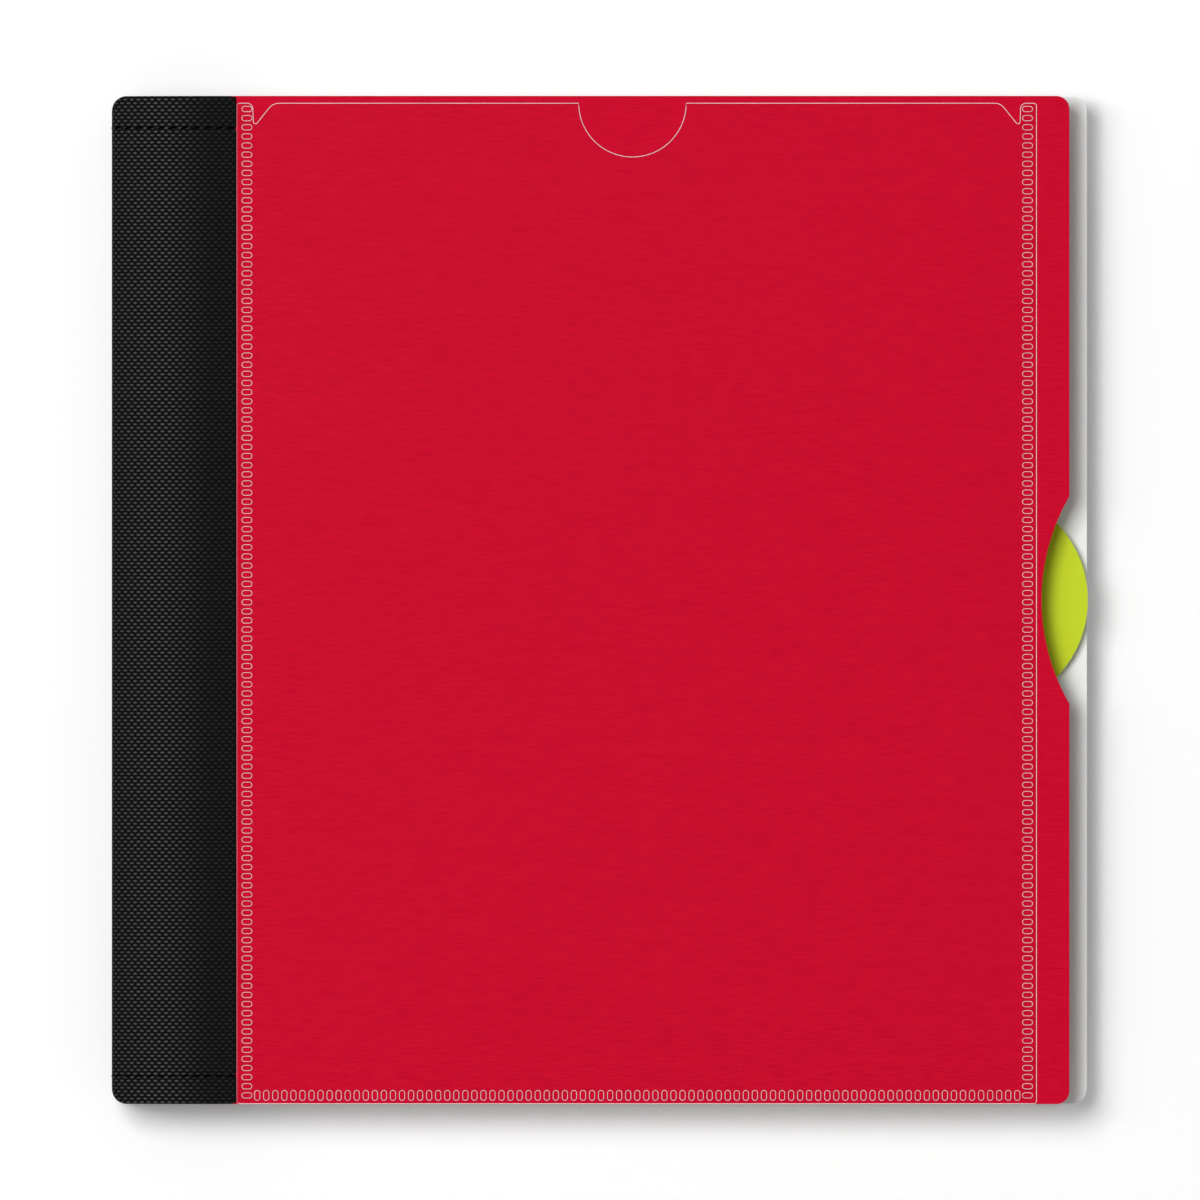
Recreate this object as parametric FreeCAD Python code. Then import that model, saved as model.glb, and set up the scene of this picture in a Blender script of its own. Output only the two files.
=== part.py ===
import math
import os

import FreeCAD
import Part

# Ring album with a soft cloth spine, lying closed on its back cover.
# u runs from the spine to the fore edge, y along the spine, z up from the table.

# Whole album
height = 285.3
thickness = 30.0
overall_width = 276.5
cover_reach = 271.1
spine_corner_r = 4.2
cover_corner_r = 3.7

# How far a cutter reaches past what it cuts
past = 1.0

# Cloth, cover sheet and lining
cloth_t = 0.6
cloth_width = 35.1
cloth_proud = 0.1
cover_t = 1.0
seam_gap = 0.1
lining_t = 0.4
lining_end = 52.0
lining_start = 6.2
lining_inset = 4.0

# Bend of the cloth and of the hinge strips beside the spine
bend_start = 24.0
bend_r = 49.0
bend_end = 1.6

# Spine panel and its two hinge lines
board_t = 1.2
board_inset = 3.0
hinge_z = 6.5
spine_cloth_gap = 0.9
hinge_u = cloth_t + board_t / 2

# Thumb notch in the fore edge of the front cover
notch_half = 29.4
notch_depth = 7.9
notch_r = (notch_half ** 2 + notch_depth ** 2) / (2 * notch_depth)

# Clear pocket on the front cover
film_t = 0.2
film_left = 35.2
film_right_inset = 9.3
film_top_inset = 1.95
film_corner_r = 0.85
moon_r = 15.1
moon_shift = 1.06
relief_wall = 4.5
relief_depth = 6.9
relief_end = 10.2
relief_tip = 0.5

# Rings
ring_u = 40.0
ring_r = 11.25
wire_r = 1.2
ring_pitch = 108.0
ring_names = ["lower", "middle", "upper"]
tip_gap = 0.05
wire_start = -75.0
ring_rise = 0.2

# Ring plate, blades and their pivots
plate_w = 20.0
plate_len = 250.0
plate_t = 0.7
plate_wall = 2.5
plate_crown = 4.6
slot_inner = 2.0
slot_outer = 9.2
slot_clear = 0.7
blade_t = 0.8
blade_len = 236.0
blade_inner = 0.2
pivot_u = 8.6
pivot_z = 1.1
edge_r = 0.6

# Rivets that hold the plate to the back cover
rivet_y = 72.0
rivet_r = 2.2
rivet_shoulder_r = 3.0
rivet_flange_r = 4.2
rivet_flange_t = 0.5
rivet_clear = 0.6
rivet_play = 0.05

# Triggers at the plate ends
pin_r = 0.7
pin_clear = 0.05
pin_y = 121.5
pin_z = 1.5
trigger_foot = 5.5
foot_half = 1.0
foot_clear = 0.1
web_inner = 1.0
web_outer = 0.4
hub_wall = 0.6
trigger_half = 5.0
trigger_reach = 132.0
trigger_t = 0.9
trigger_lip = 4.3

# Leaves on the rings
leaf_w = 215.9
leaf_h = 279.4
leaf_t = 0.45
leaf_corner_r = 3.0
front_count = 5
middle_count = 2
back_count = 10
hole_r = 4.3
hole_margin = 6.8
hole_shift = 0.7
low_offset = -7.4
high_offset = 7.6
low_tilt = -1.213
high_tilt = 1.0

# Index divider
divider_t = 0.5
tab_reach = 14.5
tab_r = 31.4

# White pocket leaf a few leaves behind the divider
pocket_leaf_t = 0.4
pocket_leaf_inset = 0.3
pocket_leaf_corner_r = 4.2
panel_t = 0.2
panel_start = 62.0
panel_inset = 6.0
panel_h = 150.0

# Levels worked out from the sizes above
half_h = height / 2
divider_edge = overall_width - tab_reach
pocket_leaf_edge = overall_width - pocket_leaf_inset
cover_low = cloth_proud
cover_high = cloth_proud + cover_t
base_z = cover_high + lining_t
ring_z = base_z + pivot_z + ring_rise + ring_r
plate_top = base_z + plate_crown
arch_sag = plate_crown - plate_wall
arch_r = ((plate_w / 2) ** 2 + arch_sag ** 2) / (2 * arch_sag)
arch_z = plate_top - arch_r
blade_z = base_z + pivot_z

V = FreeCAD.Vector
along_y = V(0, 1, 0)
along_z = V(0, 0, 1)
ring_axis = V(ring_u, 0, ring_z)

os.makedirs("parts", exist_ok=True)


def save(name, shape):
    shape = shape.copy()
    shape.translate(V(-overall_width / 2, 0, 0))
    shape.exportStep("parts/" + name + ".step")


def box(u0, u1, y0, y1, z0, z1):
    return Part.makeBox(u1 - u0, y1 - y0, z1 - z0, V(u0, y0, z0))


def rod_y(u, z, r, y0, y1):
    return Part.makeCylinder(r, y1 - y0, V(u, y0, z), along_y)


def rod_z(u, y, r, z0, z1):
    return Part.makeCylinder(r, z1 - z0, V(u, y, z0), along_z)


def line(a, b):
    return Part.LineSegment(a, b).toShape()


def arc(a, m, b):
    return Part.Arc(a, m, b).toShape()


def bend_point(r, angle):
    return V(bend_start - r * math.sin(angle), 0, bend_r - r * math.cos(angle))


def rounded(u0, u1, y0, y1, z0, t, r, sides):
    # Flat sheet with the upright edges on the named sides rounded
    sheet = box(u0, u1, y0, y1, z0, z0 + t)
    picked = []
    for edge in sheet.Edges:
        a = edge.Vertexes[0].Point
        b = edge.Vertexes[1].Point
        upright = abs(a.z - b.z) > t / 2
        at_fore = "fore" in sides and abs(a.x - u1) < 0.01
        at_spine = "spine" in sides and abs(a.x - u0) < 0.01
        if upright and (at_fore or at_spine):
            picked.append(edge)
    return sheet.makeFillet(r, picked)


def swept(face, y0, y1):
    solid = face.extrude(V(0, y1 - y0, 0))
    solid.translate(V(0, y0, 0))
    return solid


def other_side(shape):
    # The same piece on the front cover
    return shape.mirror(V(0, 0, thickness / 2), along_z)


# Plan outline shared by the cloth and the strips: round corners at the spine
plan = rounded(0, cover_reach, -half_h, half_h, -past, thickness + 2 * past, spine_corner_r, ["spine"])


def bent_layer(depth0, depth1, u_flat, u_bend, y_inset):
    # Layer that lies flat from u_flat to the bend, then follows the bend to u_bend
    r0 = bend_r - depth0
    r1 = bend_r - depth1
    angle = math.asin((bend_start - u_bend) / bend_r)
    a = V(u_flat, 0, depth0)
    b = V(bend_start, 0, depth0)
    c = bend_point(r0, angle)
    d = bend_point(r1, angle)
    e = V(bend_start, 0, depth1)
    f = V(u_flat, 0, depth1)
    edges = [arc(b, bend_point(r0, angle / 2), c), line(c, d), arc(d, bend_point(r1, angle / 2), e)]
    if u_flat > bend_start:
        edges = [line(a, b)] + edges + [line(e, f), line(f, a)]
    else:
        edges = edges + [line(e, b)]
    layer = swept(Part.Face(Part.Wire(edges)), -half_h + y_inset, half_h - y_inset)
    return layer.common(plan).Solids[0]


# Covers: sheet with a thinned margin under the cloth and round fore corners; the front one is notched
sheet = rounded(bend_start, cover_reach, -half_h, half_h, cover_low, cover_t, cover_corner_r, ["fore"])
margin = cloth_width + seam_gap
sheet = sheet.cut(box(bend_start - past, margin, -half_h - past, half_h + past, cover_low - past, cloth_t))
notch_u = cover_reach - notch_depth + notch_r
notched = sheet.cut(rod_z(notch_u, 0, notch_r, -past, cover_high + past))

cloth_flap = bent_layer(0, cloth_t, cloth_width, bend_end, 0)
hinge_strip = bent_layer(cloth_t, cover_high, bend_start, bend_end, 0)
flap_lining = bent_layer(cover_high, base_z, lining_end, lining_start, lining_inset)

# Rivets: flange let into the back cover, stem, shoulder and flush top
rivets = []
for side in [-1, 1]:
    y = side * rivet_y
    flange = rod_z(ring_u, y, rivet_flange_r, cover_low, cover_low + rivet_flange_t)
    stem = rod_z(ring_u, y, rivet_r, cover_low, plate_top - rivet_play)
    shoulder = rod_z(ring_u, y, rivet_shoulder_r, base_z, plate_top - plate_t - rivet_play)
    rivets.append(flange.fuse(stem).fuse(shoulder).removeSplitter())

back_cover = sheet
back_lining = flap_lining
for rivet in rivets:
    back_cover = back_cover.cut(rivet)
    back_lining = back_lining.cut(rivet)

save("back_cover", back_cover)
save("back_fabric", cloth_flap)
save("back_hinge_strip", hinge_strip)
save("back_lining", back_lining)
save("front_cover", other_side(notched))
save("front_fabric", other_side(cloth_flap))
save("front_hinge_strip", other_side(hinge_strip))
save("front_lining", other_side(flap_lining))

# Spine panel: cloth, board with round edges on the hinge lines, lining
spine_low = hinge_z + spine_cloth_gap
spine_high = thickness - spine_low
spine_cloth = box(0, cloth_t, -half_h, half_h, spine_low, spine_high)
board_y = half_h - board_inset
board = box(cloth_t, cloth_t + board_t, -board_y, board_y, hinge_z, thickness - hinge_z)
for z in [hinge_z, thickness - hinge_z]:
    board = board.fuse(rod_y(hinge_u, z, board_t / 2, -board_y, board_y))
board = board.removeSplitter()
lining_u = cloth_t + board_t
spine_lining = box(lining_u, lining_u + lining_t, -board_y, board_y, spine_low, spine_high)
save("spine_fabric", spine_cloth.common(plan).Solids[0])
save("spine_board", board.common(plan).Solids[0])
save("spine_lining", spine_lining.common(plan).Solids[0])


# Clear pocket: film with a half-moon cut and a relief notch at each end of its open edge
def relief(u_edge, inward):
    y_top = half_h - film_top_inset
    wall = u_edge + inward * relief_wall
    end = u_edge + inward * relief_end
    tip_y = y_top - relief_depth + relief_tip
    tip_u = wall + inward * relief_tip
    a = V(wall, y_top + past, 0)
    b = V(wall, tip_y, 0)
    m = V(tip_u, tip_y - relief_tip, 0)
    c = V(tip_u + inward * relief_tip, tip_y, 0)
    d = V(end, y_top, 0)
    e = V(end, y_top + past, 0)
    edges = [line(a, b), arc(b, m, c), line(c, d), line(d, e), line(e, a)]
    cutter = Part.Face(Part.Wire(edges)).extrude(V(0, 0, 2 * past))
    cutter.translate(V(0, 0, thickness - cloth_proud - past))
    return cutter


film_right = cover_reach - film_right_inset
film_z = thickness - cloth_proud
film_top = half_h - film_top_inset
film = rounded(film_left, film_right, -half_h, film_top, film_z, film_t, film_corner_r, ["spine", "fore"])
film = film.cut(relief(film_left, 1))
film = film.cut(relief(film_right, -1))
moon_u = (film_left + film_right) / 2 - moon_shift
film = film.cut(rod_z(moon_u, film_top, moon_r, film_z - past, film_z + past))
save("cover_pocket", film.Solids[0])


# Ring plate: arched channel with slots for the rings
def channel(inset, top_inset):
    half = plate_w / 2 - inset
    shoulder_r = arch_r - top_inset
    shoulder_z = arch_z + math.sqrt(shoulder_r ** 2 - half ** 2)
    a = V(ring_u - half, 0, base_z)
    b = V(ring_u - half, 0, shoulder_z)
    m = V(ring_u, 0, arch_z + shoulder_r)
    c = V(ring_u + half, 0, shoulder_z)
    d = V(ring_u + half, 0, base_z)
    edges = [line(a, b), arc(b, m, c), line(c, d), line(d, a)]
    return Part.Face(Part.Wire(edges))


half_plate = plate_len / 2
plate = swept(channel(0, 0), -half_plate, half_plate)
plate = plate.cut(swept(channel(plate_t, plate_t), -half_plate - past, half_plate + past))
ring_ys = []
for i in range(len(ring_names)):
    ring_ys.append((i - (len(ring_names) - 1) / 2) * ring_pitch)
slot_half = wire_r + slot_clear
for y in ring_ys:
    for side in [-1, 1]:
        u0 = ring_u + min(side * slot_inner, side * slot_outer)
        u1 = ring_u + max(side * slot_inner, side * slot_outer)
        slot = box(u0, u1, y - slot_half, y + slot_half, base_z + plate_wall, plate_top + past)
        plate = plate.cut(slot)
for rivet in rivets:
    plate = plate.cut(rivet)

# Trigger pins lie across the plate walls
pins = []
for side in [-1, 1]:
    start = V(ring_u - plate_w / 2, side * pin_y, base_z + pin_z)
    pins.append(Part.makeCylinder(pin_r, plate_w, start, V(1, 0, 0)))
for pin in pins:
    plate = plate.cut(pin)
save("ring_plate", plate.Solids[0])
save("rivet_lower", rivets[0])
save("rivet_upper", rivets[1])
save("trigger_pin_lower", pins[0])
save("trigger_pin_upper", pins[1])


# Rings: each half is a bent wire staked into its blade
def ring_half(y, side):
    angle = math.radians(wire_start)
    first = ring_axis + V(side * ring_r * math.cos(angle), y, ring_r * math.sin(angle))
    heading = V(-math.sin(angle) * side, 0, math.cos(angle))
    disc = Part.Face(Part.Wire(Part.makeCircle(wire_r, first, heading)))
    sweep = 90 - wire_start
    turned = disc.revolve(ring_axis + V(0, y, 0), V(0, -side, 0), sweep)
    reach = ring_r + 2 * wire_r
    u0 = ring_u + min(side * tip_gap, side * reach)
    u1 = ring_u + max(side * tip_gap, side * reach)
    room = box(u0, u1, y - reach, y + reach, 0, thickness)
    return turned.common(room).Solids[0]


def blade(side, wires):
    u0 = ring_u + min(side * blade_inner, side * pivot_u)
    u1 = ring_u + max(side * blade_inner, side * pivot_u)
    half = blade_len / 2
    flat = box(u0, u1, -half, half, blade_z - blade_t / 2, blade_z + blade_t / 2)
    flat = flat.fuse(rod_y(ring_u + side * pivot_u, blade_z, edge_r, -half, half)).removeSplitter()
    for end in [-1, 1]:
        flat = flat.cut(rod_z(ring_u, end * rivet_y, rivet_shoulder_r + rivet_clear, base_z, plate_top))
    for wire in wires:
        flat = flat.cut(wire)
    return flat.Solids[0]


for side, word in [(-1, "left"), (1, "right")]:
    wires = []
    for y, name in zip(ring_ys, ring_names):
        wire = ring_half(y, side)
        wires.append(wire)
        save(word + "_ring_" + name, wire)
    save(word + "_blade", blade(side, wires))


# Triggers: foot under the blades, hub on the pin, thumb plate turned up at its end
def trigger(side):
    z = base_z + pin_z
    foot_top = blade_z - blade_t / 2 - foot_clear
    foot_low = base_z + foot_clear
    hub_r = pin_r + pin_clear + hub_wall
    foot = box(ring_u - foot_half, ring_u + foot_half, pin_y - trigger_foot, pin_y, foot_low, foot_top)
    web = box(ring_u - foot_half, ring_u + foot_half, pin_y - web_inner, pin_y + web_outer, foot_low, z)
    hub_start = V(ring_u - trigger_half, pin_y, z)
    hub = Part.makeCylinder(hub_r, 2 * trigger_half, hub_start, V(1, 0, 0))
    arm_z = z + hub_r - trigger_t
    u0 = ring_u - trigger_half
    u1 = ring_u + trigger_half
    arm = box(u0, u1, pin_y, trigger_reach, arm_z, arm_z + trigger_t)
    lip_low = trigger_reach - trigger_t
    lip = box(u0, u1, lip_low, trigger_reach, arm_z, base_z + trigger_lip)
    body = foot.fuse(web).fuse(hub).fuse(arm).fuse(lip).removeSplitter()
    bore_start = V(u0 - past, pin_y, z)
    bore_len = 2 * trigger_half + 2 * past
    body = body.cut(Part.makeCylinder(pin_r + pin_clear, bore_len, bore_start, V(1, 0, 0)))
    body = body.Solids[0]
    if side < 0:
        body = body.mirror(V(0, 0, 0), along_y)
    return body


save("lower_trigger", trigger(-1))
save("upper_trigger", trigger(1))

# Leaves: all hang on the rings and spread a little towards the fore edge
pocket_place = back_count
divider_place = pocket_place + middle_count + 1
places = divider_place + front_count + 1


def place(i):
    share = i / (places - 1)
    offset = low_offset + share * (high_offset - low_offset)
    tilt = low_tilt + share * (high_tilt - low_tilt)
    return offset, tilt


def hole_u(offset):
    return ring_u + math.sqrt(ring_r ** 2 - offset ** 2) + hole_shift


def hang(flat, offset, tilt):
    # Punch a sheet lying at the height of the ring axis plus offset, then tilt it on the rings
    for y in ring_ys:
        flat = flat.cut(rod_z(hole_u(offset), y, hole_r, 0, thickness))
    flat.rotate(ring_axis, V(0, -1, 0), tilt)
    return flat.Solids[0]


def leaf(i):
    offset, tilt = place(i)
    u0 = hole_u(offset) - hole_margin
    z0 = ring_z + offset - leaf_t / 2
    flat = rounded(u0, u0 + leaf_w, -leaf_h / 2, leaf_h / 2, z0, leaf_t, leaf_corner_r, ["fore"])
    return hang(flat, offset, tilt)


for n in range(back_count):
    save("back_leaf_%d" % (n + 1), leaf(n))
for n in range(middle_count):
    save("middle_leaf_%d" % (n + 1), leaf(pocket_place + 1 + n))
for n in range(front_count):
    save("front_leaf_%d" % (n + 1), leaf(divider_place + 1 + n))

# Index divider with a round tab at mid height
offset, tilt = place(divider_place)
z0 = ring_z + offset - divider_t / 2
u0 = hole_u(offset) - hole_margin
divider = rounded(u0, divider_edge, -leaf_h / 2, leaf_h / 2, z0, divider_t, leaf_corner_r, ["fore"])
tab_u = ring_u + (overall_width - ring_u) / math.cos(math.radians(tilt)) - tab_r
tab = rod_z(tab_u, 0, tab_r, z0, z0 + divider_t)
divider = divider.fuse(tab).removeSplitter()
save("index_divider", hang(divider, offset, tilt))

# White pocket leaf a few leaves behind the divider, with a half-height panel welded on it
offset, tilt = place(pocket_place)
z0 = ring_z + offset - pocket_leaf_t / 2
u0 = hole_u(offset) - hole_margin
white = rounded(u0, pocket_leaf_edge, -half_h, half_h, z0, pocket_leaf_t, pocket_leaf_corner_r, ["fore"])
save("pocket_leaf", hang(white, offset, tilt))
panel_low = -half_h + panel_inset
panel = box(panel_start, pocket_leaf_edge - panel_inset * 2, panel_low, panel_low + panel_h, 0, panel_t)
panel.translate(V(0, 0, z0 + pocket_leaf_t))
panel.rotate(ring_axis, V(0, -1, 0), tilt)
save("pocket_leaf_panel", panel)
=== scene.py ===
import math

import bpy
from bpy.props import FloatProperty, FloatVectorProperty, PointerProperty
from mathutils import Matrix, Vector


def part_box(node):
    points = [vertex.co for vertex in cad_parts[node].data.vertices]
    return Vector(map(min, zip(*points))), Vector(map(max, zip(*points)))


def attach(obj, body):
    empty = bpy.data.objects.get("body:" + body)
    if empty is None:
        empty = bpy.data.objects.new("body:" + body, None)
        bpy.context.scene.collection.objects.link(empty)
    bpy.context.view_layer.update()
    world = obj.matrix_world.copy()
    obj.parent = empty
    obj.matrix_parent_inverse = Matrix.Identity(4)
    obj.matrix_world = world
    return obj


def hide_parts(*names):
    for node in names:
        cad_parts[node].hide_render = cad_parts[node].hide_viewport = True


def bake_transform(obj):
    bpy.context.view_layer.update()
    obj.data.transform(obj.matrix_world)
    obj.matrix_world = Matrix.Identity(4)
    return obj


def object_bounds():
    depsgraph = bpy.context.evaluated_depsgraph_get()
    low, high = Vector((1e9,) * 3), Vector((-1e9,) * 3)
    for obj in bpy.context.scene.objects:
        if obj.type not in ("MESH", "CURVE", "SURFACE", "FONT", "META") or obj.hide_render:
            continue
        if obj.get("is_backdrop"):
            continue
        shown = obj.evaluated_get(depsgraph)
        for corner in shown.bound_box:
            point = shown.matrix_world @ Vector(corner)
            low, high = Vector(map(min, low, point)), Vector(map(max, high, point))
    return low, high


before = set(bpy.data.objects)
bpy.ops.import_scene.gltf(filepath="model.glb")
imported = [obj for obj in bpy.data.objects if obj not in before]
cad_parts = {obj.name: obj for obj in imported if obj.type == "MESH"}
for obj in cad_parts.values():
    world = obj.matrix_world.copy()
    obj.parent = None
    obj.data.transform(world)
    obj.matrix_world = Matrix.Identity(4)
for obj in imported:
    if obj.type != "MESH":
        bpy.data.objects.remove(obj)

bl_info = {
    "name": "Ring Album",
    "version": (1, 0, 0),
    "blender": (4, 5, 0),
    "location": "View3D > Sidebar > Album",
    "description": "Dresses a ring album: cloth spine, clear cover pocket, leaves, divider and ring metal",
    "category": "Object",
}

# Shapes are worked out in millimetres: u from the spine, y from mid height, z from the table.
# Materials, lamps and the camera are in metres.
CAD_LOW, CAD_HIGH = (tuple(corner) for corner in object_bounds())
MM = 0.001
HALF_HEIGHT = CAD_HIGH[1] / MM
SPINE_X = CAD_LOW[0] / MM
FILM_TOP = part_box("cover_pocket")[1][2] / MM
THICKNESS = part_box("front_fabric")[1][2] / MM


# ---------------------------------------------------------------- properties

def length(name, text, value):
    return FloatProperty(name=name, description=text, default=value * MM, unit="LENGTH", precision=5)


def colour(name, text, value):
    return FloatVectorProperty(
        name=name, description=text, default=value, size=3, min=0.0, max=1.0, subtype="COLOR")


class AlbumSizes(bpy.types.PropertyGroup):
    """Sizes of the sewn and welded detail"""
    weave: length("Weave repeat", "Distance from one thread float to the next in a row", 2.02)
    cloth: length("Cloth thickness", "Thickness of the cloth round the spine", 0.6)
    cloth_edge: length("Cloth edge radius", "Round-over along the cut edges of the cloth", 0.45)
    stitch: length("Stitch length", "Length of one stitch in the hem", 2.3)
    stitch_width: length("Stitch width", "Width of the sewing thread", 0.52)
    stitch_pitch: length("Stitch pitch", "Distance from one stitch to the next", 3.3)
    head_hem: length("Head hem", "Distance of the stitches from the head of the spine", 9.0)
    tail_hem: length("Tail hem", "Distance of the stitches from the tail of the spine", 7.9)
    weld: length("Weld length", "Length of one oval weld of the pocket", 3.05)
    weld_width: length("Weld width", "Width of one oval weld of the pocket", 1.72)
    weld_line: length("Weld line", "Width of the raised line of a weld", 0.21)
    film_edge: length("Film edge", "Width of the bright cut edge of the film", 0.23)
    ruling: length("Leaf ruling", "Spacing of the faint squares on the leaves", 5.0)


class AlbumColours(bpy.types.PropertyGroup):
    """Colours of the album's finishes"""
    cover: colour("Cover", "Brushed cover sheet", (0.577, 0.0013, 0.0243))
    bounce: colour("Cover bounce", "What the cover gives to the light it throws on", (0.14, 0.12, 0.12))
    thread: colour("Thread", "Threads on the face of the cloth", (0.083, 0.083, 0.084))
    ground: colour("Ground", "Gaps between the threads", (0.0022, 0.0022, 0.0025))
    sewing: colour("Sewing", "Hem stitches", (0.0003, 0.0003, 0.0003))
    strip: colour("Hinge strip", "Plastic strips under the cloth", (0.012, 0.012, 0.013))
    lining: colour("Lining", "Felted lining of the spine", (0.022, 0.022, 0.024))
    board: colour("Board", "Stiffener in the spine", (0.21, 0.19, 0.165))
    film: colour("Film", "Clear film of the cover pocket", (0.05, 0.05, 0.05))
    # Painted highlight: the clear film's cut edges and welds, which are real raised lines, are coloured as
    # the glint they catch.
    edge: colour("Film edge", "Cut edges and welds of the film", (1.0, 0.65, 0.71))
    ring: colour("Ring", "Bright plating of the rings", (0.80, 0.80, 0.82))
    steel: colour("Steel", "Satin plating of the ring metal", (0.56, 0.57, 0.59))
    paper: colour("Paper", "Album leaves", (0.88, 0.86, 0.80))
    rule: colour("Ruling", "Faint squares on the leaves", (0.62, 0.64, 0.66))
    lime: colour("Divider", "Index divider", (0.56, 0.69, 0.020))
    white: colour("White sheet", "Pocket sheet behind the divider", (0.885, 0.905, 0.895))
    panel: colour("Panel", "Frosted pocket panel", (0.88, 0.90, 0.92))
    floor: colour("Floor", "Studio floor", (0.95, 0.95, 0.95))


# -------------------------------------------------------------------- nodes

def add(tree, kind, **settings):
    node = tree.nodes.new(kind)
    for key, value in settings.items():
        setattr(node, key, value)
    return node


def join(tree, source, target):
    tree.links.new(source, target)


def maths(tree, operation, a, b=0.0):
    node = add(tree, "ShaderNodeMath", operation=operation)
    for socket, value in zip(node.inputs, (a, b)):
        if isinstance(value, (int, float)):
            socket.default_value = value
        else:
            join(tree, value, socket)
    return node.outputs[0]


def ramp(tree, value, start, end, low=0.0, high=1.0, kind="LINEAR"):
    """Maps a value between start and end on to low to high, and holds it at both"""
    node = add(tree, "ShaderNodeMapRange", interpolation_type=kind)
    limits = (("From Min", start), ("From Max", end), ("To Min", low), ("To Max", high))
    for label, limit in limits:
        node.inputs[label].default_value = limit
    join(tree, value, node.inputs["Value"])
    return node.outputs["Result"]


def spread(tree, value, low, high):
    """Maps a 0 to 1 value on to low to high"""
    return ramp(tree, value, 0.0, 1.0, low, high)


def tint(tree, mask, dark, light):
    """Mixes two colours by a mask"""
    node = add(tree, "ShaderNodeMix", data_type="RGBA")
    join(tree, mask, node.inputs["Factor"])
    for name, value in (("A", dark), ("B", light)):
        socket = next(s for s in node.inputs if s.name == name and s.type == "RGBA")
        if hasattr(value, "is_linked"):
            join(tree, value, socket)
        else:
            socket.default_value = (*value, 1.0)
    return next(s for s in node.outputs if s.type == "RGBA")


def noise(tree, vector, detail, scale=None):
    node = add(tree, "ShaderNodeTexNoise")
    node.inputs["Detail"].default_value = detail
    if scale is not None:
        node.inputs["Scale"].default_value = scale
    join(tree, vector, node.inputs["Vector"])
    return node


def shade(colour_value, factor, lift=0.0):
    return tuple(min(1.0, max(0.0, c * factor + lift)) for c in colour_value)


def new_group(name, inputs, outputs):
    group = bpy.data.node_groups.new(name, "ShaderNodeTree")
    for label, kind, value in inputs:
        socket = group.interface.new_socket(label, in_out="INPUT", socket_type=kind)
        if value is not None:
            socket.default_value = value
    for label in outputs:
        group.interface.new_socket(label, in_out="OUTPUT", socket_type="NodeSocketFloat")
    return group, add(group, "NodeGroupInput"), add(group, "NodeGroupOutput")


def streak_group():
    """Fine streaks along X, as left by a brushed roller"""
    name = "brushed streaks"
    if name in bpy.data.node_groups:
        return bpy.data.node_groups[name]
    sockets = [
        ("Vector", "NodeSocketVector", None),
        ("Along", "NodeSocketFloat", 30.0),
        ("Across", "NodeSocketFloat", 2000.0),
    ]
    group, given, out = new_group(name, sockets, ["Mask", "Height"])
    stretch = add(group, "ShaderNodeCombineXYZ")
    for axis, label in (("X", "Along"), ("Y", "Across"), ("Z", "Across")):
        join(group, given.outputs[label], stretch.inputs[axis])
    scaled = add(group, "ShaderNodeVectorMath", operation="MULTIPLY")
    join(group, given.outputs["Vector"], scaled.inputs[0])
    join(group, stretch.outputs[0], scaled.inputs[1])
    fine = noise(group, scaled.outputs[0], detail=2.0, scale=1.0)
    broad = noise(group, scaled.outputs[0], detail=2.0, scale=0.17)
    fine_share, broad_share = 0.86, 0.14
    both = maths(
        group, "ADD",
        maths(group, "MULTIPLY", fine.outputs[0], fine_share),
        maths(group, "MULTIPLY", broad.outputs[0], broad_share))
    join(group, ramp(group, both, start=0.3, end=0.7), out.inputs["Mask"])
    join(group, fine.outputs[0], out.inputs["Height"])
    return group


def grain_group():
    """Fine even grain with a slow drift, for felt, board, paper and moulded sheet"""
    name = "fine grain"
    if name in bpy.data.node_groups:
        return bpy.data.node_groups[name]
    sockets = [("Vector", "NodeSocketVector", None), ("Scale", "NodeSocketFloat", 1500.0)]
    group, given, out = new_group(name, sockets, ["Mask", "Drift", "Height"])
    fine = noise(group, given.outputs["Vector"], detail=4.0)
    join(group, given.outputs["Scale"], fine.inputs["Scale"])
    slow = noise(group, given.outputs["Vector"], detail=2.0, scale=14.0)
    join(group, ramp(group, fine.outputs[0], start=0.32, end=0.68), out.inputs["Mask"])
    join(group, slow.outputs[0], out.inputs["Drift"])
    join(group, fine.outputs[0], out.inputs["Height"])
    return group


class Finish:
    """One material: a Principled shader with the node tree that feeds it"""

    def __init__(self, name, **constants):
        self.material = bpy.data.materials.new(name)
        self.material.use_nodes = True
        self.tree = self.material.node_tree
        self.shader = self.tree.nodes["Principled BSDF"]
        for label, value in constants.items():
            self.shader.inputs[label.replace("_", " ")].default_value = value
        self.coords = add(self.tree, "ShaderNodeTexCoord")

    def place(self, group, vector=None, **values):
        node = add(self.tree, "ShaderNodeGroup", node_tree=group)
        join(self.tree, vector or self.coords.outputs["Object"], node.inputs["Vector"])
        for label, value in values.items():
            node.inputs[label].default_value = value
        return node

    def split(self, label):
        """Separate X, Y and Z outputs of one of the texture coordinates"""
        node = add(self.tree, "ShaderNodeSeparateXYZ")
        join(self.tree, self.coords.outputs[label], node.inputs[0])
        return node.outputs

    def feed(self, label, source):
        join(self.tree, source, self.shader.inputs[label])

    def bump(self, height, distance):
        node = add(self.tree, "ShaderNodeBump")
        node.inputs["Distance"].default_value = distance
        node.inputs["Strength"].default_value = 1.0
        join(self.tree, height, node.inputs["Height"])
        self.feed("Normal", node.outputs["Normal"])

    def on(self, *names):
        for name in names:
            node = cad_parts[name]
            node.data.materials.clear()
            node.data.materials.append(self.material)


STREAK_POLISH, GRAIN_POLISH = 0.05, 0.06


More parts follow.
